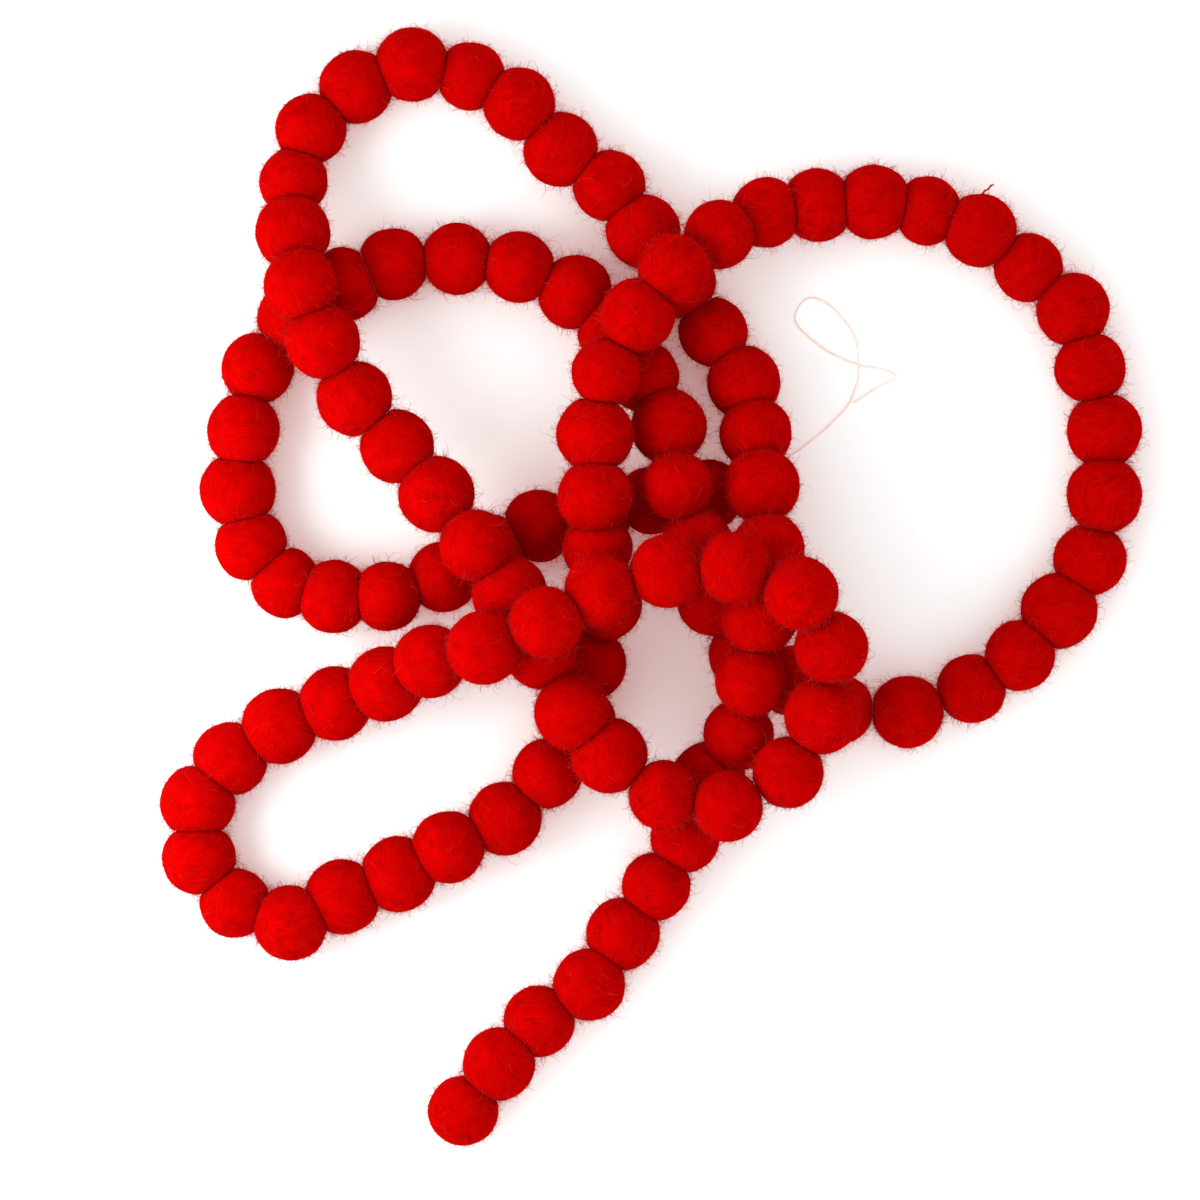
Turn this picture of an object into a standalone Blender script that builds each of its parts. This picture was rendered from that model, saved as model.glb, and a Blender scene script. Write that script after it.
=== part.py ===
"""A garland of wool felt balls, threaded tight on a string and dropped in crossing loops on a flat surface.

Metres, +Z up. The origin is on the surface, under the middle of the garland's outline.
"""

import math
import random
from collections import namedtuple
from itertools import combinations, pairwise

import bmesh
import bpy
import numpy as np
from mathutils import Vector

MM = 0.001
UP = Vector((0, 0, 1))
GAP = 0.3 * MM

# Felt balls: solid wool, pressed flat against each other on the string.
BALL_RADIUS = 12.9 * MM
RADIUS_SPREAD = 0.7 * MM  # hand-rolled balls are up to this much larger or smaller
ROLLING_SEED = 3
BALL_SIDES = 12
SHOULDER = 4 * MM  # from a ball's middle to the ring on either side of it
LEAST_FLAT = 2 * MM  # radius of the flat on a ball that its neighbour hardly touches
PRESSED_DEPTH = 0.3 * MM  # felt this close to the surface lies flat on it
BALLS_PER_SOLID = 2

# How the garland lies: a strand of a higher layer passes over one of a lower layer.
STRING_DROOP = 2 * MM  # how far a ball may sink below the middle of its two neighbours
SETTLING_ROUNDS = 200
CURVE_STEPS = 60

Stretch = namedtuple("Stretch", "layer places")  # where each of its balls lies, in millimetres

GARLAND = (
    # The loose end below the pile, and the strand that goes up to the right of its middle.
    Stretch(3, (
        (-67, -186), (-54, -169), (-40, -154), (-22, -141), (-10, -123), (2, -106),
        (12, -89), (20, -68), (31, -52), (35, -33), (38, -10), (41, 14),
        (39, 36), (37, 55), (33, 73), (22, 91), (10, 109), (-3, 127),
    )),
    # The loop at the top and the long diagonal back to the middle.
    Stretch(5, (
        (-15, 143), (-32, 156), (-47, 172), (-64, 182), (-85, 186), (-105, 178),
        (-121, 163), (-127, 144), (-127, 126), (-124, 107), (-116, 87), (-105, 67),
        (-90, 50), (-76, 33), (-62, 15), (-50, -2), (-39, -23), (-28, -44),
    )),
    # The loop that crowns the pile.
    Stretch(6, (
        (-15, -59), (4, -73), (27, -77), (48, -65), (60, -45), (63, -21),
        (52, -2), (29, 7), (5, 6), (-18, -1), (-37, -12), (-59, -21),
    )),
    # The loop at the lower left, which comes down off the crown.
    Stretch(3, (
        (-78, -26), (-94, -34), (-112, -41), (-132, -49), (-150, -61), (-161, -76),
        (-161, -96), (-148, -112), (-128, -119), (-110, -110), (-90, -102), (-72, -92),
        (-52, -82), (-37, -66), (-26, -48),
    )),
    # The strand that goes straight up the middle and over to the right.
    Stretch(4, (
        (-22, -27), (-16, -6), (-19, 14), (-20, 32), (-20, 54), (-16, 76),
        (-5, 96), (8, 112), (24, 125), (41, 133),
    )),
    # The wide loop at the right, the inner strand, and the loop at the left.
    Stretch(2, (
        (59, 136), (79, 137), (98, 134), (117, 127), (134, 114), (150, 99),
        (156, 78), (161, 56), (161, 33), (156, 10), (145, -8), (131, -24),
        (114, -36), (91, -44), (67, -43), (50, -33), (33, -24), (22, -4),
        (16, 16), (9, 36), (6, 57), (-3, 75), (-13, 92), (-27, 105),
        (-47, 114), (-69, 117), (-92, 115), (-109, 108), (-127, 96), (-140, 78),
        (-145, 56), (-147, 35), (-142, 15), (-130, 2), (-113, -3), (-94, -3),
        (-74, 4), (-57, 13),
    )),
    # The end under the pile, where the string comes out.
    Stretch(1, (
        (-40, 22), (-19, 28), (0, 31), (20, 33),
    )),
)

# A ball that is threaded off its middle rides up between its neighbours. These are counted from the
# loose end, each with how far it rides up, in millimetres.
RIDING_UP = {
    2: 3, 4: 2, 6: 2, 21: 2, 23: 2, 25: 3, 52: 3, 57: 3, 60: 4, 62: 2,
    75: 3, 77: 3, 80: 2, 82: 3, 85: 2, 98: 2, 104: 3, 108: 3, 109: 6, 110: 2,
}

# String: a twisted cotton thread, whose tail leaves the last ball and lies on the surface.
STRING_DIAMETER = 0.8 * MM
TAIL_POINTS = 64
TAIL_ROUTE = (
    (32.9, 34.2, 12.1),
    (36.5, 35.6, 10.2),
    (40.5, 39, 4),
    (44.5, 42.8, 0.8),
    (48.5, 46.2, 0.4),
    (54, 50, 0.4),
    (62, 56.5, 0.4),
    (67, 61.5, 0.4),
    (70.1, 64.9, 0.4),
    (72.5, 69.8, 0.6),
    (74, 75.5, 1.1),
    (74, 81, 1.6),
    (73.5, 87, 1.0),
    (71.5, 92, 0.4),
    (67.5, 97, 0.4),
    (63.5, 101, 0.4),
    (58, 103.5, 0.4),
    (54, 102, 0.4),
    (51.5, 97, 0.4),
    (53, 93, 0.4),
    (59, 87.5, 0.4),
    (66, 83, 0.4),
    (74, 79.8, 0.4),
    (82, 78.2, 0.4),
    (86, 76.8, 0.4),
    (87.3, 75.6, 0.4),
    (85.5, 74.2, 0.4),
    (80, 71.2, 0.4),
    (72.1, 66.1, 0.4),
)


class Ball:
    """One felt ball on the string: where it lies, its layer and its size."""

    def __init__(self, place, layer, radius):
        self.centre = place
        self.layer = layer
        self.radius = radius
        # The height that sets the ball's lowest facet on the surface.
        self.centre.z = math.sqrt(radius**2 - SHOULDER**2) * math.cos(math.pi / BALL_SIDES)


def curve_point(before, start, end, after, share):
    """A point on the smooth curve (Catmull-Rom) from start to end."""
    return 0.5 * (
        2 * start
        + (end - before) * share
        + (2 * before - 5 * start + 4 * end - after) * share**2
        + (3 * start - before - 3 * end + after) * share**3
    )


def traced_spans(points):
    """The smooth curve through the points, as one fine trace for each span between two of them."""
    ends = [2 * points[0] - points[1], *points, 2 * points[-1] - points[-2]]
    for first in range(len(points) - 1):
        around = ends[first : first + 4]
        yield [curve_point(*around, step / CURVE_STEPS) for step in range(CURVE_STEPS + 1)]


def even_points(trace, count):
    """This many points at equal steps along a trace, of which the last is the trace's end."""
    travelled = np.cumsum([0.0] + [(b - a).length for a, b in pairwise(trace)])
    wanted = np.arange(1, count + 1) / count * travelled[-1]
    columns = [np.interp(wanted, travelled, axis) for axis in zip(*trace)]
    return [Vector(point) for point in zip(*columns)]


def thread_balls():
    """The balls in their order on the string, before the upper stretches are lifted over the lower ones."""
    rolling = random.Random(ROLLING_SEED)
    balls = []
    for stretch in GARLAND:
        for x, y in stretch.places:
            radius = BALL_RADIUS + rolling.uniform(-1, 1) * RADIUS_SPREAD
            balls.append(Ball(Vector((x, y, 0)) * MM, stretch.layer, radius))
    for count, rise in RIDING_UP.items():
        balls[count - 1].centre.z += rise * MM
    return balls


def crossings(balls):
    """Each pair of balls that would meet on the surface, the upper one first, with the rise that clears it."""
    for one, other in combinations(range(len(balls)), 2):
        across = (balls[one].centre - balls[other].centre).xy.length
        reach = balls[one].radius + balls[other].radius + GAP
        if other - one > 1 and across < reach:
            upper, lower = sorted((balls[one], balls[other]), key=lambda ball: -ball.layer)
            yield upper, lower, math.sqrt(reach**2 - across**2)


def settle(balls):
    """Lifts each ball until it clears the balls that it crosses and the string bends gently over them."""
    rises = list(crossings(balls))
    for _ in range(SETTLING_ROUNDS):
        for upper, lower, rise in rises:
            upper.centre.z = max(upper.centre.z, lower.centre.z + rise)
        for before, ball, after in zip(balls, balls[1:], balls[2:]):
            middle = (before.centre.z + after.centre.z) / 2
            ball.centre.z = max(ball.centre.z, middle - STRING_DROOP)


def flat_offset(ball, neighbour, gap):
    """How far from its centre a ball is pressed flat against its neighbour."""
    apart = (neighbour.centre - ball.centre).length
    meeting = (apart**2 + ball.radius**2 - neighbour.radius**2) / (2 * apart)
    return min(meeting - gap / 2, math.sqrt(ball.radius**2 - LEAST_FLAT**2))


def ring(mesh, ball, heading, offset):
    """A ball's cross-section, square to the heading and this far along it, flat where it meets the surface."""
    size = math.sqrt(ball.radius**2 - offset**2)
    across = heading.cross(UP).normalized()
    upward = across.cross(heading)
    corners = []
    for side in range(BALL_SIDES):
        angle = 2 * math.pi * (side + 0.5) / BALL_SIDES
        place = ball.centre + offset * heading + size * (math.cos(angle) * across + math.sin(angle) * upward)
        if place.z < PRESSED_DEPTH:
            place.z = 0
        corners.append(mesh.verts.new(place))
    return corners


def ball_rings(mesh, balls, index, joined_before, joined_after):
    """A ball's four rings along the string: a flat, two shoulders and a flat."""
    ball = balls[index]
    before = balls[index - 1] if index else None
    after = balls[index + 1] if index + 1 < len(balls) else None
    back = (ball.centre - before.centre).normalized() if before else None
    ahead = (after.centre - ball.centre).normalized() if after else back
    back = back or ahead
    middle = (back + ahead).normalized()
    loose = math.sqrt(ball.radius**2 - LEAST_FLAT**2)
    back_flat = flat_offset(ball, before, 0 if joined_before else GAP) if before else loose
    ahead_flat = flat_offset(ball, after, 0 if joined_after else GAP) if after else loose
    return [
        ring(mesh, ball, back, -back_flat),
        ring(mesh, ball, middle, -SHOULDER),
        ring(mesh, ball, middle, SHOULDER),
        ring(mesh, ball, ahead, ahead_flat),
    ]


def ball_solid(balls, first, last):
    """The mesh of the balls from first to last, joined where they press together."""
    mesh = bmesh.new()
    rings = []
    for index in range(first, last + 1):
        rings += ball_rings(mesh, balls, index, index > first, index < last)
    for one, other in pairwise(rings):
        for side in range(BALL_SIDES):
            after = (side + 1) % BALL_SIDES
            mesh.faces.new((one[side], one[after], other[after], other[side]))
    mesh.faces.new(reversed(rings[0]))
    mesh.faces.new(rings[-1])
    bmesh.ops.remove_doubles(mesh, verts=mesh.verts, dist=0.002 * MM)
    bmesh.ops.recalc_face_normals(mesh, faces=mesh.faces)
    return mesh


def plain_material(name, colour, roughness):
    """A Principled material of one colour."""
    material = bpy.data.materials.new(name)
    material.use_nodes = True
    shader = material.node_tree.nodes["Principled BSDF"]
    shader.inputs["Base Color"].default_value = (*colour, 1)
    shader.inputs["Roughness"].default_value = roughness
    shader.inputs["Metallic"].default_value = 0
    return material


def add_part(name, data, material, collection, parent):
    """A named object with its material, parented to the garland's empty."""
    part = bpy.data.objects.new(name, data)
    data.materials.append(material)
    part.parent = parent
    collection.objects.link(part)
    return part


def make_balls(balls, collection, parent):
    """One object for each pair of neighbouring balls, and one for the ball that is left over."""
    felt = plain_material("wool_felt", (0.70, 0.006, 0.004), 0.95)
    for first in range(0, len(balls), BALLS_PER_SOLID):
        last = min(first + BALLS_PER_SOLID, len(balls)) - 1
        solid = ball_solid(balls, first, last)
        name = f"balls_{first + 1:03d}_{last + 1:03d}" if last > first else f"ball_{first + 1:03d}"
        data = bpy.data.meshes.new(name)
        solid.to_mesh(data)
        solid.free()
        data.shade_smooth()
        data.set_sharp_from_angle(angle=math.radians(60))
        add_part(name, data, felt, collection, parent)


def make_string_tail(collection, parent):
    """The string's free tail: a tube along a smooth curve from the last ball to the cut end."""
    cotton = plain_material("cotton_string", (0.80, 0.74, 0.68), 0.85)
    trace = [point for span in traced_spans([Vector(point) * MM for point in TAIL_ROUTE]) for point in span]
    points = [trace[0], *even_points(trace, TAIL_POINTS - 1)]
    for point in points:
        point.z = max(point.z, STRING_DIAMETER / 2)
    tube = bpy.data.curves.new("string_tail", "CURVE")
    tube.dimensions = "3D"
    tube.bevel_depth = STRING_DIAMETER / 2
    tube.bevel_resolution = 2
    tube.use_fill_caps = True
    spline = tube.splines.new("POLY")
    spline.points.add(len(points) - 1)
    for place, point in zip(spline.points, points):
        place.co = (*point, 1)
    add_part("string_tail", tube, cotton, collection, parent)


def clear_scene():
    for old in list(bpy.data.objects):
        bpy.data.objects.remove(old)


clear_scene()
garland_parts = bpy.data.collections.new("felt_ball_garland")
bpy.context.scene.collection.children.link(garland_parts)
garland = bpy.data.objects.new("garland", None)
garland_parts.objects.link(garland)
strung_balls = thread_balls()
settle(strung_balls)
make_balls(strung_balls, garland_parts, garland)
make_string_tail(garland_parts, garland)
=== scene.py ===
import math

import bpy
import numpy as np
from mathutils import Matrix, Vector


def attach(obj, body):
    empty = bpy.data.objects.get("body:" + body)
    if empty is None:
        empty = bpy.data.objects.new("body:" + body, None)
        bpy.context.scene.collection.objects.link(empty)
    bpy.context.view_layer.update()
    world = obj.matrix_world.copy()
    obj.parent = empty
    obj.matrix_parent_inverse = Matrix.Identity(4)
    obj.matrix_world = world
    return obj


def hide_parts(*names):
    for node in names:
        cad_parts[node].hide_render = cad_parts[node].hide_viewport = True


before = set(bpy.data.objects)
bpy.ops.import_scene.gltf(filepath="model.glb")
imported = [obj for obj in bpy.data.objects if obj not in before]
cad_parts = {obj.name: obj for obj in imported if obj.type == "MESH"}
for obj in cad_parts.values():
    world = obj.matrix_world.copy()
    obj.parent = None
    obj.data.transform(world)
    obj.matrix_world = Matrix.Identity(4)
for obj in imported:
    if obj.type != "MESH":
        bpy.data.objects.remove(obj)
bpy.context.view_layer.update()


# The view: straight down on the garland as it lies, from high enough that the loops on top of
# the pile look hardly larger than the rest.
VIEW_OVER = (-0.0182, -0.0043)
VIEW_HEIGHT = 3.0
VIEW_WIDTH = 0.4284

view = bpy.data.objects.new("view", bpy.data.cameras.new("view"))
bpy.context.scene.collection.objects.link(view)
view.location = (*VIEW_OVER, VIEW_HEIGHT)
view.data.lens = view.data.sensor_width * VIEW_HEIGHT / VIEW_WIDTH
view.data.clip_end = 2 * VIEW_HEIGHT
bpy.context.scene.camera = view


# The string's loose tail: two plies of undyed cotton twisted into a thread, left long where the
# garland was finished. It comes out of the last ball under the pile, runs out over the table,
# loops round on itself and ends in a plain cut.
STRING_THICKNESS = 0.0008
PLY_THICKNESS = 0.00045
TWIST_LENGTH = 0.0026
PLY_SIDES = 6
PLY_STEP = 0.0004
SAME_PLACE = 1e-7  # points closer than this are one point
STEPS_BETWEEN_POINTS = 12
TAIL_ROUTE_MM = (
    (32.9, 34.2, 12.1),
    (36.5, 35.6, 10.2),
    (40.5, 39, 4),
    (44.5, 42.8, 0.8),
    (48.5, 46.2, 0.4),
    (54, 50, 0.4),
    (62, 56.5, 0.4),
    (67, 61.5, 0.4),
    (70.1, 64.9, 0.4),
    (72.5, 69.8, 0.6),
    (74, 75.5, 1.1),
    (74, 81, 1.6),
    (73.5, 87, 1.0),
    (71.5, 92, 0.4),
    (67.5, 97, 0.4),
    (63.5, 101, 0.4),
    (58, 103.5, 0.4),
    (54, 102, 0.4),
    (51.5, 97, 0.4),
    (53, 93, 0.4),
    (59, 87.5, 0.4),
    (66, 83, 0.4),
    (74, 79.8, 0.4),
    (82, 78.2, 0.4),
    (86, 76.8, 0.4),
    (87.3, 75.6, 0.4),
    (85.5, 74.2, 0.4),
    (80, 71.2, 0.4),
    (72.1, 66.1, 0.4),
)


def linear(hex_colour):
    """A linear colour with full alpha from an sRGB hex one."""
    parts = [int(hex_colour[place : place + 2], 16) / 255 for place in (1, 3, 5)]
    return (*(p / 12.92 if p <= 0.04045 else ((p + 0.055) / 1.055) ** 2.4 for p in parts), 1)


def node(tree, kind, inputs=None, **settings):
    """Adds a node with its settings. Its inputs are given by name or number, or as a tuple in their
    order: each is a plain value, a socket, or a node whose first output feeds it."""
    made = tree.nodes.new(kind)
    for name, value in settings.items():
        setattr(made, name, value)
    if isinstance(inputs, tuple):
        inputs = dict(enumerate(inputs))
    for key, value in (inputs or {}).items():
        if isinstance(key, int):
            socket = made.inputs[key]
        else:
            socket = next(s for s in made.inputs if s.enabled and s.name == key)
        if isinstance(value, bpy.types.Node):
            value = next(s for s in value.outputs if s.enabled)
        if isinstance(value, bpy.types.NodeSocket):
            tree.links.new(value, socket)
        else:
            socket.default_value = value
    return made


def new_tree(name, **sizes):
    """A Geometry Nodes tree with its named inputs, and its group input node."""
    tree = bpy.data.node_groups.new(name, "GeometryNodeTree")
    kinds = {int: "NodeSocketInt", float: "NodeSocketFloat"}
    tree.interface.new_socket("Geometry", in_out="OUTPUT", socket_type="NodeSocketGeometry")
    tree.interface.new_socket("Geometry", in_out="INPUT", socket_type="NodeSocketGeometry")
    for label, value in sizes.items():
        socket = tree.interface.new_socket(label, in_out="INPUT", socket_type=kinds[type(value)])
        socket.default_value = value
    return tree, tree.nodes.new("NodeGroupInput")


def made_by(tree, name, mesh, keep=None, **sizes):
    """An object with the plain mesh that a tree makes from this one, its named inputs set first.
    Of the values that its points carry, it keeps only their places and the one named."""
    piece = bpy.data.objects.new(name, mesh)
    modifier = piece.modifiers.new(tree.name, "NODES")
    modifier.node_group = tree
    for label, value in sizes.items():
        modifier[tree.interface.items_tree[label].identifier] = value
    bpy.context.scene.collection.objects.link(piece)
    graph = bpy.context.evaluated_depsgraph_get()
    made = bpy.data.meshes.new_from_object(piece.evaluated_get(graph), depsgraph=graph)
    material = made.materials[-1]
    made.materials.clear()
    made.materials.append(material)
    made.polygons.foreach_set("material_index", [0] * len(made.polygons))
    for carried in made.attributes.keys():
        if made.attributes[carried].domain == "POINT" and carried not in ("position", keep):
            made.attributes.remove(made.attributes[carried])
    piece.modifiers.clear()
    piece.data = made
    made.name = name
    return piece


def new_material(name):
    """A material, its tree, and its Principled shader."""
    material = bpy.data.materials.new(name)
    material.use_nodes = True
    return material, material.node_tree, material.node_tree.nodes["Principled BSDF"]


def line_mesh(points):
    """A mesh of one open line through the points."""
    mesh = bpy.data.meshes.new("line")
    mesh.from_pydata(points, [(i, i + 1) for i in range(len(points) - 1)], [])
    return mesh


def smooth_line(points, steps):
    """Points on a smooth curve (Catmull-Rom) through the given ones."""
    ends = [2 * points[0] - points[1], *points, 2 * points[-1] - points[-2]]
    line = [points[0]]
    for before, start, end, after in zip(ends, ends[1:], ends[2:], ends[3:]):
        for share in np.arange(1, steps + 1) / steps:
            line.append(0.5 * (
                2 * start
                + (end - before) * share
                + (2 * before - 5 * start + 4 * end - after) * share**2
                + (3 * start - before - 3 * end + after) * share**3
            ))
    return line


# Spun cotton, undyed and matt: off-white with a warm cast, a little uneven where loose ends of fibre catch
# the light, so faint that it almost sinks into the table.
# A faint warm painted glow makes it paler than the light on it alone would.
LINT_SIZE = 0.0009
cotton, tree, shader = new_material("twisted_cotton_thread")
place = node(tree, "ShaderNodeTexCoord")
lint = node(tree, "ShaderNodeTexNoise", {"Vector": place.outputs["Object"], "Scale": 1 / LINT_SIZE})
shade = node(tree, "ShaderNodeValToRGB", {"Fac": lint.outputs["Fac"]})
shade.color_ramp.elements[0].color = linear("#F2CABF")
shade.color_ramp.elements[0].position = 0.3
shade.color_ramp.elements[1].color = linear("#FFE4DB")
shade.color_ramp.elements[1].position = 0.65
tree.links.new(shade.outputs["Color"], shader.inputs["Base Color"])
shader.inputs["Roughness"].default_value = 0.85
shader.inputs["Specular IOR Level"].default_value = 0.2
shader.inputs["Sheen Weight"].default_value = 0.2
# Painted glow: a faint warm emission lifts the thread's shaded side paler than its lighting makes it.
shader.inputs["Emission Color"].default_value = linear("#FFCFC2")
shader.inputs["Emission Strength"].default_value = 0.1

thread_tree, given = new_tree(
    "twisted_thread", Thickness=STRING_THICKNESS, Ply=PLY_THICKNESS, Twist=TWIST_LENGTH, Step=PLY_STEP
)
line = node(thread_tree, "GeometryNodeMeshToCurve", {"Mesh": given.outputs["Geometry"]})
line = node(
    thread_tree, "GeometryNodeResampleCurve", {"Curve": line, "Length": given.outputs["Step"]}, mode="LENGTH"
)
along = node(thread_tree, "GeometryNodeSplineParameter")
turns = node(
    thread_tree, "ShaderNodeMath", (along.outputs["Length"], given.outputs["Twist"]), operation="DIVIDE"
)
tangent = node(thread_tree, "GeometryNodeInputTangent")
normal = node(thread_tree, "GeometryNodeInputNormal")
sideways = node(thread_tree, "ShaderNodeVectorMath", (tangent, normal), operation="CROSS_PRODUCT")
spare = node(
    thread_tree, "ShaderNodeMath", (given.outputs["Thickness"], given.outputs["Ply"]), operation="SUBTRACT"
)
offset = node(thread_tree, "ShaderNodeMath", (spare, 0.5), operation="MULTIPLY")
ply_radius = node(thread_tree, "ShaderNodeMath", (given.outputs["Ply"], 0.5), operation="MULTIPLY")
ply_outline = node(
    thread_tree, "GeometryNodeCurvePrimitiveCircle", {"Resolution": PLY_SIDES, "Radius": ply_radius}
)
both_plies = node(thread_tree, "GeometryNodeJoinGeometry")
for ply in range(2):
    turn = node(thread_tree, "ShaderNodeMath", (turns, ply / 2), operation="ADD")
    angle = node(thread_tree, "ShaderNodeMath", (turn, 2 * math.pi), operation="MULTIPLY")
    cosine = node(thread_tree, "ShaderNodeMath", (angle,), operation="COSINE")
    sine = node(thread_tree, "ShaderNodeMath", (angle,), operation="SINE")
    part_out = node(thread_tree, "ShaderNodeVectorMath", {0: normal, "Scale": cosine}, operation="SCALE")
    part_aside = node(thread_tree, "ShaderNodeVectorMath", {0: sideways, "Scale": sine}, operation="SCALE")
    way = node(thread_tree, "ShaderNodeVectorMath", (part_out, part_aside), operation="ADD")
    shift = node(thread_tree, "ShaderNodeVectorMath", {0: way, "Scale": offset}, operation="SCALE")
    helix = node(thread_tree, "GeometryNodeSetPosition", {"Geometry": line, "Offset": shift})
    tube = node(thread_tree, "GeometryNodeCurveToMesh", {
        "Curve": helix,
        "Profile Curve": ply_outline,
        "Fill Caps": True,
    })
    thread_tree.links.new(tube.outputs["Mesh"], both_plies.inputs["Geometry"])
merged = node(thread_tree, "GeometryNodeMergeByDistance", {"Geometry": both_plies, "Distance": SAME_PLACE})
finished = node(thread_tree, "GeometryNodeSetMaterial", {"Geometry": merged, "Material": cotton})
node(thread_tree, "NodeGroupOutput", {"Geometry": finished})

tail_line = smooth_line([Vector(point) / 1000 for point in TAIL_ROUTE_MM], STEPS_BETWEEN_POINTS)
for point in tail_line:
    point.z = max(point.z, STRING_THICKNESS / 2)
string_tail = made_by(thread_tree, "string_thread_tail", line_mesh(tail_line))
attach(string_tail, "root")
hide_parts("string_tail")


# The balls: wet-felted merino, rolled by hand, so each is a little lumpy and a little larger or
# smaller than the next. They are threaded tight: each is squashed along the string, wider across
# it, pressed flat against its neighbours and against what it rests on.
FACES_ALONG = 11
LOPSIDED_SIZE = 0.017
LOPSIDED_HEIGHT = 0.0008
LUMP_SIZE = 0.0048
LUMP_HEIGHT = 0.0003
SQUASHED_REACH = 1.28  # a squashed ball's half length, for each length from its middle to the flat
PRESSED_APART = 0.00005  # left between two balls at the flat
FLAT_EDGE = 0.0005
RESTING_EDGE = 0.0005
ROLLED_SEED = 7
NECK_FUZZ = 1.3  # how much more loose wool there is where two balls meet
NECK_STARTS = 0.5  # the cosine of the angle from the string at which there starts to be more
NECK_FULL = 0.8
BARE_BELOW = 0.0008  # the felt that rests on the table is bare up to this height
PATTERN_STEP = 0.037
ON_TABLE = 0.00001  # corners of the CAD's balls lower than this are pressed flat on the table
ONE_BALLS_SHARE = 0.4  # of the length of two joined balls, the end that is surely one ball's


def sphere_through(points):
    """The centre and radius of the sphere on which the points lie."""
    sides = np.c_[2 * points, np.ones(len(points))]
    *centre, rest = np.linalg.lstsq(sides, (points**2).sum(axis=1), rcond=None)[0]
    return np.array(centre), math.sqrt(rest + np.dot(centre, centre))


def balls_of(name):
    """The centre and radius of each ball of a CAD node: its corners lie on the balls' spheres, apart
    from those pressed on the surface. A node of two balls is told apart along its length."""
    corners = np.array([corner.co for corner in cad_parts[name].data.vertices])
    corners = corners[corners[:, 2] > ON_TABLE]
    if name.count("_") == 1:
        return [sphere_through(corners)]
    middle = corners.mean(axis=0)
    length_way = np.linalg.svd(corners - middle)[2][0]
    along = (corners - middle) @ length_way
    first = along < along.min() + ONE_BALLS_SHARE * np.ptp(along)
    last = along > along.max() - ONE_BALLS_SHARE * np.ptp(along)
    return [sphere_through(corners[first]), sphere_through(corners[last])]


ball_nodes = sorted(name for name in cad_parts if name.startswith("ball"))
balls = []
for name in sorted(ball_nodes, key=lambda name: int(name[-3:]), reverse=True):
    found = balls_of(name)
    if balls:
        found.sort(key=lambda ball: -np.linalg.norm(ball[0] - balls[0][0]))
    balls = found + balls
centres = np.array([centre for centre, _ in balls])
radii = np.array([radius for _, radius in balls])

# Wet-felted wool: dense and deep red, wholly matt, its fibres lying in swirls, with faint darker
# patches where it is felted harder. Real fibres lie too close to be seen: these are the finest that
# show.
FIBRE_GAP = 0.00045
FIBRE_LENGTH = 0.0045
FIBRE_RELIEF = 0.0004
SWIRL_SIZE = 0.011
SWIRL_BEND = 0.006
PATCH_SIZE = 0.0055
FIBRES_SHARE = 0.65  # of the felt's unevenness; the rest is in patches
felt, tree, shader = new_material("wet_felted_wool")
wool = node(tree, "ShaderNodeAttribute", attribute_name="wool").outputs["Vector"]
bend = node(tree, "ShaderNodeTexNoise", {"Vector": wool, "Scale": 1 / SWIRL_SIZE, "Detail": 1.0})
bend = node(tree, "ShaderNodeVectorMath", (bend.outputs["Color"], (0.5, 0.5, 0.5)), operation="SUBTRACT")
bend = node(tree, "ShaderNodeVectorMath", {0: bend, "Scale": SWIRL_BEND}, operation="SCALE")
curled = node(tree, "ShaderNodeVectorMath", (wool, bend), operation="ADD")
lays = []
for turn in ((0.0, 0.0, 0.0), (1.3, 0.4, 0.0)):
    lay = node(tree, "ShaderNodeMapping", {
        "Vector": curled,
        "Rotation": turn,
        "Scale": (1 / FIBRE_LENGTH, 1 / FIBRE_LENGTH, 1 / FIBRE_GAP),
    })
    lay = node(tree, "ShaderNodeTexNoise", {"Vector": lay, "Scale": 1.0, "Detail": 3.0, "Roughness": 0.6})
    lays.append(lay.outputs["Fac"])
which = node(tree, "ShaderNodeTexNoise", {"Vector": wool, "Scale": 1 / SWIRL_SIZE, "Detail": 0.0})
which = node(tree, "ShaderNodeMapRange", {"Value": which.outputs["Fac"], "From Min": 0.42, "From Max": 0.58})
fibres = node(tree, "ShaderNodeMix", {"Factor": which, "A": lays[0], "B": lays[1]})
patches = node(tree, "ShaderNodeTexNoise", {"Vector": wool, "Scale": 1 / PATCH_SIZE, "Detail": 2.0})
patches = node(tree, "ShaderNodeMath", (patches.outputs["Fac"], 1 - FIBRES_SHARE), operation="MULTIPLY")
tone = node(
    tree, "ShaderNodeMath", (fibres.outputs["Result"], FIBRES_SHARE, patches), operation="MULTIPLY_ADD"
)
shade = node(tree, "ShaderNodeValToRGB", {"Fac": tone})
shade.color_ramp.elements[0].color = linear("#990101")
shade.color_ramp.elements[0].position = 0.36
shade.color_ramp.elements[1].color = linear("#BC0101")
shade.color_ramp.elements[1].position = 0.60
middle_shade = shade.color_ramp.elements.new(0.48)
middle_shade.color = linear("#AE0101")
relief = node(
    tree, "ShaderNodeBump", {"Height": fibres.outputs["Result"], "Strength": 0.65, "Distance": FIBRE_RELIEF}
)
tree.links.new(shade.outputs["Color"], shader.inputs["Base Color"])
tree.links.new(relief.outputs["Normal"], shader.inputs["Normal"])
shader.inputs["Roughness"].default_value = 0.95
shader.inputs["Specular IOR Level"].default_value = 0.0
shader.inputs["Sheen Weight"].default_value = 0.07
shader.inputs["Sheen Roughness"].default_value = 0.5
shader.inputs["Sheen Tint"].default_value = linear("#FF0500")

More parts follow.
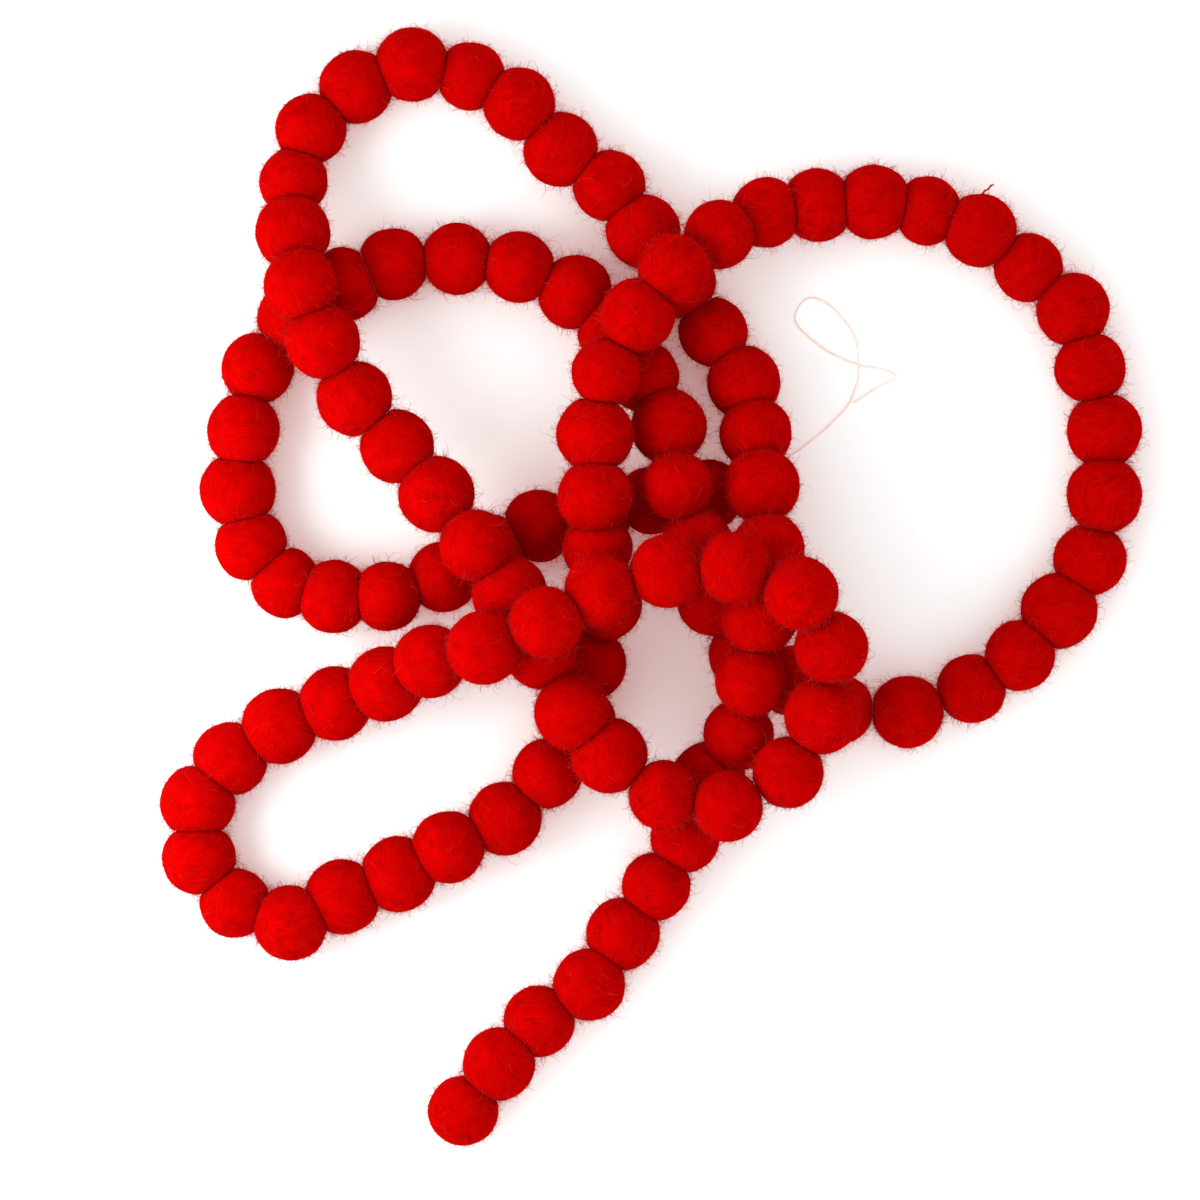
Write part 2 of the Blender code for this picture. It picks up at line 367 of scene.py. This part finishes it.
ball_tree, given = new_tree(
    "felt_ball",
    Faces=FACES_ALONG,
    Lopsided_Size=LOPSIDED_SIZE,
    Lopsided_Height=LOPSIDED_HEIGHT,
    Lump_Size=LUMP_SIZE,
    Lump_Height=LUMP_HEIGHT,
    Flat_Edge=FLAT_EDGE,
    Resting_Edge=RESTING_EDGE,
    Seed=ROLLED_SEED,
)
corners = node(ball_tree, "ShaderNodeMath", (given.outputs["Faces"], 1), operation="ADD")
block = node(ball_tree, "GeometryNodeMeshCube", {
    "Size": (2, 2, 2),
    "Vertices X": corners,
    "Vertices Y": corners,
    "Vertices Z": corners,
})
where = node(ball_tree, "GeometryNodeInputPosition")
even = node(ball_tree, "ShaderNodeVectorMath", {0: where, "Scale": math.pi / 4}, operation="SCALE")
even = node(ball_tree, "ShaderNodeVectorMath", (even,), operation="TANGENT")
even = node(ball_tree, "ShaderNodeVectorMath", (even,), operation="NORMALIZE")
round_form = node(ball_tree, "GeometryNodeSetPosition", {"Geometry": block.outputs["Mesh"], "Position": even})
round_form = node(
    ball_tree,
    "GeometryNodeStoreNamedAttribute",
    {"Geometry": round_form, "Name": "wool", "Value": where},
    data_type="FLOAT_VECTOR",
)
whole_number = node(ball_tree, "GeometryNodeInputNamedAttribute", {"Name": "number"}, data_type="INT")
any_turn = node(
    ball_tree,
    "FunctionNodeRandomValue",
    {"Max": (2 * math.pi,) * 3, "ID": whole_number, "Seed": given.outputs["Seed"]},
    data_type="FLOAT_VECTOR",
)
rolled = node(
    ball_tree,
    "GeometryNodeInstanceOnPoints",
    {"Points": given.outputs["Geometry"], "Instance": round_form, "Rotation": any_turn},
)
rolled = node(ball_tree, "GeometryNodeRealizeInstances", {"Geometry": rolled})

# What ball_points gives each ball, and the wool's own place, which turns with the ball.
carried = {}
for name, kind in (
    ("number", "FLOAT"),
    ("radius", "FLOAT"),
    ("centre", "FLOAT_VECTOR"),
    ("wool", "FLOAT_VECTOR"),
    ("next_way", "FLOAT_VECTOR"),
    ("last_way", "FLOAT_VECTOR"),
    ("next_half", "FLOAT"),
    ("last_half", "FLOAT"),
):
    carried[name] = node(ball_tree, "GeometryNodeInputNamedAttribute", {"Name": name}, data_type=kind)

# Rolled by hand: a little lopsided, with small lumps.
out = node(ball_tree, "ShaderNodeVectorMath", (where, carried["centre"]), operation="SUBTRACT")
wool_place = node(
    ball_tree, "ShaderNodeVectorMath", {0: carried["wool"], "Scale": carried["radius"]}, operation="SCALE"
)
height = carried["radius"]
for size, rise in (("Lopsided_Size", "Lopsided_Height"), ("Lump_Size", "Lump_Height")):
    spread = node(ball_tree, "ShaderNodeMath", (1, given.outputs[size]), operation="DIVIDE")
    uneven = node(
        ball_tree,
        "ShaderNodeTexNoise",
        {"Vector": wool_place, "W": carried["number"], "Scale": spread, "Detail": 1.0},
        noise_dimensions="4D",
    )
    centred = node(ball_tree, "ShaderNodeMath", (uneven.outputs["Fac"], 0.5), operation="SUBTRACT")
    both_ways = node(ball_tree, "ShaderNodeMath", (given.outputs[rise], 2), operation="MULTIPLY")
    height = node(ball_tree, "ShaderNodeMath", (centred, both_ways, height), operation="MULTIPLY_ADD")
shape = node(ball_tree, "ShaderNodeVectorMath", {0: out, "Scale": height}, operation="SCALE")

# Squashed towards each neighbour, then pressed flat against it. The flats stay bare of fuzz, and
# round their edge, where the balls crowd together, the wool is looser.
bare = 1
crowded = 1
for side in ("next", "last"):
    towards = carried[f"{side}_way"]
    half = carried[f"{side}_half"]
    facing = node(ball_tree, "ShaderNodeVectorMath", (out, towards), operation="DOT_PRODUCT")
    facing = node(ball_tree, "ShaderNodeMath", (facing.outputs["Value"], 0), operation="MAXIMUM")
    reach = node(ball_tree, "ShaderNodeMath", (half, SQUASHED_REACH), operation="MULTIPLY")
    reach = node(ball_tree, "ShaderNodeMath", (reach, carried["radius"]), operation="MINIMUM")
    squash = node(ball_tree, "ShaderNodeMath", (reach, carried["radius"]), operation="SUBTRACT")
    facing_squared = node(ball_tree, "ShaderNodeMath", (facing, 2), operation="POWER")
    squash = node(ball_tree, "ShaderNodeMath", (squash, facing_squared), operation="MULTIPLY")
    shift = node(ball_tree, "ShaderNodeVectorMath", {0: towards, "Scale": squash}, operation="SCALE")
    shape = node(ball_tree, "ShaderNodeVectorMath", (shape, shift), operation="ADD")
    length = node(ball_tree, "ShaderNodeVectorMath", (shape, towards), operation="DOT_PRODUCT")
    length = length.outputs["Value"]
    edge = given.outputs["Flat_Edge"]
    pressed = node(ball_tree, "ShaderNodeMath", (length, half, edge), operation="SMOOTH_MIN")
    pressed = node(ball_tree, "ShaderNodeMath", (pressed, length), operation="SUBTRACT")
    shift = node(ball_tree, "ShaderNodeVectorMath", {0: towards, "Scale": pressed}, operation="SCALE")
    shape = node(ball_tree, "ShaderNodeVectorMath", (shape, shift), operation="ADD")
    clear = node(ball_tree, "ShaderNodeMath", (length, half), operation="LESS_THAN")
    bare = node(ball_tree, "ShaderNodeMath", (bare, clear), operation="MULTIPLY")
    neck = node(ball_tree, "ShaderNodeMapRange", {
        "Value": facing,
        "From Min": NECK_STARTS,
        "From Max": NECK_FULL,
        "To Max": NECK_FUZZ,
    })
    crowded = node(ball_tree, "ShaderNodeMath", (crowded, neck), operation="ADD")
placed = node(ball_tree, "ShaderNodeVectorMath", (carried["centre"], shape), operation="ADD")

# Flat where it rests on the table.
axes = node(ball_tree, "ShaderNodeSeparateXYZ", (placed,))
resting = node(
    ball_tree, "ShaderNodeMath", (axes.outputs["Z"], 0, given.outputs["Resting_Edge"]), operation="SMOOTH_MAX"
)
placed = node(ball_tree, "ShaderNodeCombineXYZ", (axes.outputs["X"], axes.outputs["Y"], resting))
off_table = node(ball_tree, "ShaderNodeMath", (axes.outputs["Z"], BARE_BELOW), operation="GREATER_THAN")
bare = node(ball_tree, "ShaderNodeMath", (bare, off_table), operation="MULTIPLY")
bare = node(ball_tree, "ShaderNodeMath", (bare, crowded), operation="MULTIPLY")

# No two balls take the same stretch of the felt's pattern.
number = carried["number"]
aside = node(ball_tree, "ShaderNodeCombineXYZ", (number, number, number))
aside = node(ball_tree, "ShaderNodeVectorMath", {0: aside, "Scale": PATTERN_STEP}, operation="SCALE")
aside = node(ball_tree, "ShaderNodeVectorMath", (wool_place, aside), operation="ADD")
shaped = rolled
for name, kind, value in (
    ("bare", "FLOAT", bare),
    ("shape", "FLOAT_VECTOR", placed),
    ("wool", "FLOAT_VECTOR", aside),
):
    shaped = node(
        ball_tree,
        "GeometryNodeStoreNamedAttribute",
        {"Geometry": shaped, "Name": name, "Value": value},
        data_type=kind,
    )
shape = node(ball_tree, "GeometryNodeInputNamedAttribute", {"Name": "shape"}, data_type="FLOAT_VECTOR")
shaped = node(ball_tree, "GeometryNodeSetPosition", {"Geometry": shaped, "Position": shape})
smooth = node(ball_tree, "GeometryNodeSetShadeSmooth", {"Geometry": shaped})
finished = node(ball_tree, "GeometryNodeSetMaterial", {"Geometry": smooth, "Material": felt})
node(ball_tree, "NodeGroupOutput", {"Geometry": finished})


def towards_and_half(index, other):
    """The direction from a ball to its neighbour, and how far it is to the flat between them."""
    if not 0 <= other < len(centres):
        return np.array((0.0, 0.0, 1.0)), 1.0
    apart = np.linalg.norm(centres[other] - centres[index])
    half = (apart**2 + radii[index] ** 2 - radii[other] ** 2) / (2 * apart)
    return (centres[other] - centres[index]) / apart, half - PRESSED_APART / 2


def ball_points(indices):
    """A mesh of one point for each ball, which carries what the felt_ball tree needs of it."""
    mesh = bpy.data.meshes.new("ball_points")
    mesh.from_pydata(centres[indices], [], [])
    vectors = {"centre": centres[indices]}
    numbers = {"radius": radii[indices], "number": np.array(indices) + 1.0}
    for side, step in (("next", 1), ("last", -1)):
        found = [towards_and_half(index, index + step) for index in indices]
        vectors[f"{side}_way"] = np.array([way for way, _ in found])
        numbers[f"{side}_half"] = np.array([half for _, half in found])
    for name, values in vectors.items():
        mesh.attributes.new(name, "FLOAT_VECTOR", "POINT").data.foreach_set("vector", values.ravel())
    for name, values in numbers.items():
        mesh.attributes.new(name, "FLOAT", "POINT").data.foreach_set("value", values)
    return mesh


for name in ball_nodes:
    first, last = int(name.split("_")[1]) - 1, int(name[-3:])
    piece = made_by(ball_tree, f"felt_{name}", ball_points(list(range(first, last))), keep="wool")
    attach(piece, "root")
    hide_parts(name)


# The fuzz: single wool fibres that stand up out of the felt, all over it but for the flats. Most
# are short bent ends, some are longer and curl over, and a few stray hairs stand well clear. There
# are more on a ball's sides than on its top, where hands have rubbed it, and few underneath.
FUZZ_GROUPS = ((1, 38), (39, 76), (77, 115))  # the first and last ball on which each piece grows
FUZZ_KINDS = {
    # name: fibres in a square millimetre, length, thickness, pieces in its length, rise, lean, fibre
    "fine_fuzz": (0.47, 0.0016, 0.0002, 1, 1.8, 1.3, "red_wool_fibre"),
    "curled_fuzz": (0.108, 0.0038, 0.00018, 2, 1.1, 1.35, "red_wool_fibre"),
    "stray_hairs": (0.0165, 0.0064, 0.00016, 4, 1.0, 1.35, "pale_wool_fibre"),
}
FUZZ_ON_SIDES = 1.85
FUZZ_ON_TOP = 0.3
FUZZ_UNDERNEATH = 0.3
UNDERNEATH = -0.5  # a normal that points further down than this is under the ball
TABLE_BEND = 0.001  # how high above the table the fibres start to bend away from it
ROOT = (0.0, 0.0, -0.1)  # each fibre starts a tenth of its length inside the felt
SHORTEST = 0.45  # of the length that its kind is given
LONGEST = 1.25
FUZZ_CURLS = (
    ((0.0, 0.0, 0.6), (0.55, 0.10, 0.85), (0.65, 0.40, 0.35)),
    ((0.0, 0.3, 0.5), (0.60, -0.45, 0.70), (0.85, -0.05, 0.30)),
    ((0.5, 0.0, 0.5), (-0.35, 0.50, 1.00), (0.35, 0.80, 0.60)),
)

# Single wool fibres in the same dye, matt, with a faint painted glow in their own colour that stands in for
# the light passing through them and keeps them red in shade; the stray ones glow more. The stray ones took
# less dye. A real fibre is 0.03 mm thick: these are the thinnest that show.
for name, colour, glow in (("red_wool_fibre", "#B00504", 0.13), ("pale_wool_fibre", "#C01A14", 0.2)):
    material, tree, shader = new_material(name)
    shader.inputs["Base Color"].default_value = linear(colour)
    shader.inputs["Roughness"].default_value = 0.8
    shader.inputs["Specular IOR Level"].default_value = 0.1
    # Painted glow: the fibre shines with its own colour whatever light reaches it.
    shader.inputs["Emission Color"].default_value = linear(colour)
    shader.inputs["Emission Strength"].default_value = glow

fuzz_tree, given = new_tree(
    "wool_fuzz", Per_Area=1.0, Length=0.001, Rise=1.0, Thickness=0.0001, Steps=2, Lean=1.0, Seed=1
)

# The single fibres, three-sided and thinning to a point, in each of the ways that they curl.
half_thick = node(fuzz_tree, "ShaderNodeMath", (given.outputs["Thickness"], 0.5), operation="MULTIPLY")
three_sided = node(
    fuzz_tree, "GeometryNodeCurvePrimitiveCircle", {"Resolution": 3, "Radius": half_thick}
)
along = node(fuzz_tree, "GeometryNodeSplineParameter")
thinning = node(fuzz_tree, "ShaderNodeMath", (along.outputs["Factor"], 2.0), operation="POWER")
thinning = node(fuzz_tree, "ShaderNodeMath", (1.0, thinning), operation="SUBTRACT")
length = given.outputs["Length"]
risen = node(fuzz_tree, "ShaderNodeMath", (length, given.outputs["Rise"]), operation="MULTIPLY")
reach = node(fuzz_tree, "ShaderNodeCombineXYZ", (length, length, risen))
curls = node(fuzz_tree, "GeometryNodeJoinGeometry")
for curl in FUZZ_CURLS:
    start, start_handle, end_handle, end = (
        node(fuzz_tree, "ShaderNodeVectorMath", (bend, reach), operation="MULTIPLY") for bend in (ROOT, *curl)
    )
    strand = node(fuzz_tree, "GeometryNodeCurvePrimitiveBezierSegment", {
        "Resolution": given.outputs["Steps"],
        "Start": start,
        "Start Handle": start_handle,
        "End Handle": end_handle,
        "End": end,
    })
    tube = node(fuzz_tree, "GeometryNodeCurveToMesh", {
        "Curve": strand,
        "Profile Curve": three_sided,
        "Scale": thinning,
        "Fill Caps": True,
    })
    closed = node(fuzz_tree, "GeometryNodeMergeByDistance", {"Geometry": tube, "Distance": SAME_PLACE})
    single = node(fuzz_tree, "GeometryNodeGeometryToInstance", {"Geometry": closed})
    fuzz_tree.links.new(single.outputs["Instances"], curls.inputs["Geometry"])

# Where they are rooted: by how bare the felt is, and how steep.
bare = node(fuzz_tree, "GeometryNodeInputNamedAttribute", {"Name": "bare"}, data_type="FLOAT")
facing = node(fuzz_tree, "ShaderNodeSeparateXYZ", (node(fuzz_tree, "GeometryNodeInputNormal"),))
level = node(fuzz_tree, "ShaderNodeMath", (facing.outputs["Z"],), operation="ABSOLUTE")
rubbed = node(
    fuzz_tree, "ShaderNodeMapRange", {"Value": level, "To Min": FUZZ_ON_SIDES, "To Max": FUZZ_ON_TOP}
)
lain_on = node(fuzz_tree, "ShaderNodeMath", (facing.outputs["Z"], UNDERNEATH), operation="GREATER_THAN")
lain_on = node(fuzz_tree, "ShaderNodeMapRange", {"Value": lain_on, "To Min": FUZZ_UNDERNEATH, "To Max": 1.0})
per_area = given.outputs["Per_Area"]
for share in (node(fuzz_tree, "ShaderNodeMath", (rubbed, lain_on), operation="MULTIPLY"), bare):
    per_area = node(fuzz_tree, "ShaderNodeMath", (share, per_area), operation="MULTIPLY")
roots = node(fuzz_tree, "GeometryNodeDistributePointsOnFaces", {
    "Mesh": given.outputs["Geometry"],
    "Density": per_area,
    "Seed": given.outputs["Seed"],
})

# How each one stands: turned any way, leaning over, and longer or shorter than the next.
spin = node(fuzz_tree, "FunctionNodeRandomValue", {"Max": 2 * math.pi, "Seed": 11}, data_type="FLOAT")
spin = node(fuzz_tree, "FunctionNodeAxisAngleToRotation", {"Axis": (0, 0, 1), "Angle": spin})
lean = node(
    fuzz_tree, "FunctionNodeRandomValue", {"Max": given.outputs["Lean"], "Seed": 12}, data_type="FLOAT"
)
lean = node(fuzz_tree, "FunctionNodeAxisAngleToRotation", {"Axis": (0, 1, 0), "Angle": lean})
turned = roots.outputs["Rotation"]
for turn in (spin, lean):
    turned = node(
        fuzz_tree,
        "FunctionNodeRotateRotation",
        {"Rotation": turned, "Rotate By": turn},
        rotation_space="LOCAL",
    )
grown = node(
    fuzz_tree, "FunctionNodeRandomValue", {"Min": SHORTEST, "Max": LONGEST, "Seed": 13}, data_type="FLOAT"
)
which = node(
    fuzz_tree, "FunctionNodeRandomValue", {"Min": 0, "Max": len(FUZZ_CURLS) - 1, "Seed": 14}, data_type="INT"
)
planted = node(fuzz_tree, "GeometryNodeInstanceOnPoints", {
    "Points": roots.outputs["Points"],
    "Instance": curls,
    "Pick Instance": True,
    "Instance Index": which,
    "Rotation": turned,
    "Scale": grown,
})
planted = node(fuzz_tree, "GeometryNodeRealizeInstances", {"Geometry": planted})

# None goes through the table: below the bend, heights fall off towards it ever more slowly.
axes = node(fuzz_tree, "ShaderNodeSeparateXYZ", (node(fuzz_tree, "GeometryNodeInputPosition"),))
low = node(fuzz_tree, "ShaderNodeMath", (axes.outputs["Z"], TABLE_BEND), operation="MINIMUM")
low = node(fuzz_tree, "ShaderNodeMath", (low, TABLE_BEND), operation="DIVIDE")
low = node(fuzz_tree, "ShaderNodeMath", (low, 1.0), operation="SUBTRACT")
low = node(fuzz_tree, "ShaderNodeMath", (low,), operation="EXPONENT")
high = node(fuzz_tree, "ShaderNodeMath", (axes.outputs["Z"], TABLE_BEND), operation="SUBTRACT")
high = node(fuzz_tree, "ShaderNodeMath", (high, 0.0), operation="MAXIMUM")
above = node(fuzz_tree, "ShaderNodeMath", (low, TABLE_BEND, high), operation="MULTIPLY_ADD")
above = node(fuzz_tree, "ShaderNodeCombineXYZ", (axes.outputs["X"], axes.outputs["Y"], above))
planted = node(fuzz_tree, "GeometryNodeSetPosition", {"Geometry": planted, "Position": above})
smooth = node(fuzz_tree, "GeometryNodeSetShadeSmooth", {"Geometry": planted})
fuzz_finish = node(fuzz_tree, "GeometryNodeSetMaterial", {"Geometry": smooth})
node(fuzz_tree, "NodeGroupOutput", {"Geometry": fuzz_finish})

for first, last in FUZZ_GROUPS:
    grown_over = [name for name in ball_nodes if first <= int(name[-3:]) <= last]
    felt_balls = made_by(ball_tree, "felt_balls", ball_points(list(range(first - 1, last))), keep="bare")
    for seed, (kind, settings) in enumerate(FUZZ_KINDS.items()):
        per_square_mm, length, thickness, steps, rise, lean_angle, fibre = settings
        fuzz_finish.inputs["Material"].default_value = bpy.data.materials[fibre]
        piece = made_by(
            fuzz_tree,
            f"{kind}_{first:03d}_{last:03d}",
            felt_balls.data,
            Per_Area=per_square_mm * 1e6,
            Length=length,
            Rise=rise,
            Thickness=thickness,
            Steps=steps,
            Lean=lean_angle,
            Seed=first + seed,
        )
        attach(piece, "root")
        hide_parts(*grown_over)
    bpy.data.objects.remove(felt_balls)


# The wisp: a twist of wool that was never felted in, and stands out of one ball of the wide loop.
# It is made as the thread is, of the same fibres as the fuzz.
WISP_BALL = 77
WISP_THICKNESS = 0.0009
WISP_PLY = 0.0005
WISP_STEPS = 4
WISP_ROUTE_MM = ((0.5, 12.0, 1.0), (1.0, 13.6, 1.6), (2.6, 14.6, 2.2), (3.4, 15.6, 2.4), (4.4, 16.2, 2.2))
wisp_points = [Vector(centres[WISP_BALL - 1]) + Vector(point) / 1000 for point in WISP_ROUTE_MM]
wisp_line = line_mesh(smooth_line(wisp_points, WISP_STEPS))
wisp = made_by(thread_tree, "wool_wisp", wisp_line, Thickness=WISP_THICKNESS, Ply=WISP_PLY)
# The wisp takes the fibre material, painted glow and all.
wisp.data.materials[0] = bpy.data.materials["red_wool_fibre"]
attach(wisp, "root")
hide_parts(f"balls_{WISP_BALL:03d}_{WISP_BALL + 1:03d}")


# The table: white laminate, smooth and almost matt, wide enough that its edge is never seen. A
# faint warm glow stands for the light that goes back and forth between it, the wool and the room.
TABLE_REACH = 6.0
TABLE_DROP = 0.00005  # below what lies on it, so that no two faces coincide
table_mesh = bpy.data.meshes.new("table_top")
table_ways = ((-1, -1), (1, -1), (1, 1), (-1, 1))
table_corners = [(x * TABLE_REACH, y * TABLE_REACH, -TABLE_DROP) for x, y in table_ways]
table_mesh.from_pydata(table_corners, [], [(0, 1, 2, 3)])
table_top = bpy.data.objects.new("table_top", table_mesh)
bpy.context.scene.collection.objects.link(table_top)
laminate, tree, shader = new_material("white_laminate")
shader.inputs["Base Color"].default_value = linear("#EDEDED")
shader.inputs["Emission Color"].default_value = linear("#FFB6AE")
shader.inputs["Emission Strength"].default_value = 0.26
shader.inputs["Roughness"].default_value = 0.7
shader.inputs["Specular IOR Level"].default_value = 0.2
table_mesh.materials.append(laminate)


# The light: a white room in even daylight, with a window close by on the left that gives the soft
# shadows, and a broader lamp farther off at the front left.
DAYLIGHT = linear("#E5FFFF")
ROOM_BRIGHTNESS = 1.31
room = bpy.data.worlds.new("white_room")
room.use_nodes = True
room.node_tree.nodes["Background"].inputs["Color"].default_value = DAYLIGHT
room.node_tree.nodes["Background"].inputs["Strength"].default_value = ROOM_BRIGHTNESS
bpy.context.scene.world = room


def soft_lamp(name, size, power, place, target):
    """A square area lamp of this size, turned to its target."""
    lamp = bpy.data.objects.new(name, bpy.data.lights.new(name, "AREA"))
    lamp.data.size = size
    lamp.data.energy = power
    lamp.data.color = DAYLIGHT[:3]
    lamp.location = place
    lamp.rotation_euler = (Vector(target) - Vector(place)).to_track_quat("-Z", "Y").to_euler()
    bpy.context.scene.collection.objects.link(lamp)


soft_lamp("window_lamp", size=0.35, power=2.55, place=(-0.45, -0.04, 0.3), target=(-0.1, -0.02, 0))
soft_lamp("room_lamp", size=1.2, power=11.7, place=(-1.2, -1.6, 1.2), target=(0, 0, 0))
bpy.context.scene.view_settings.view_transform = "Standard"
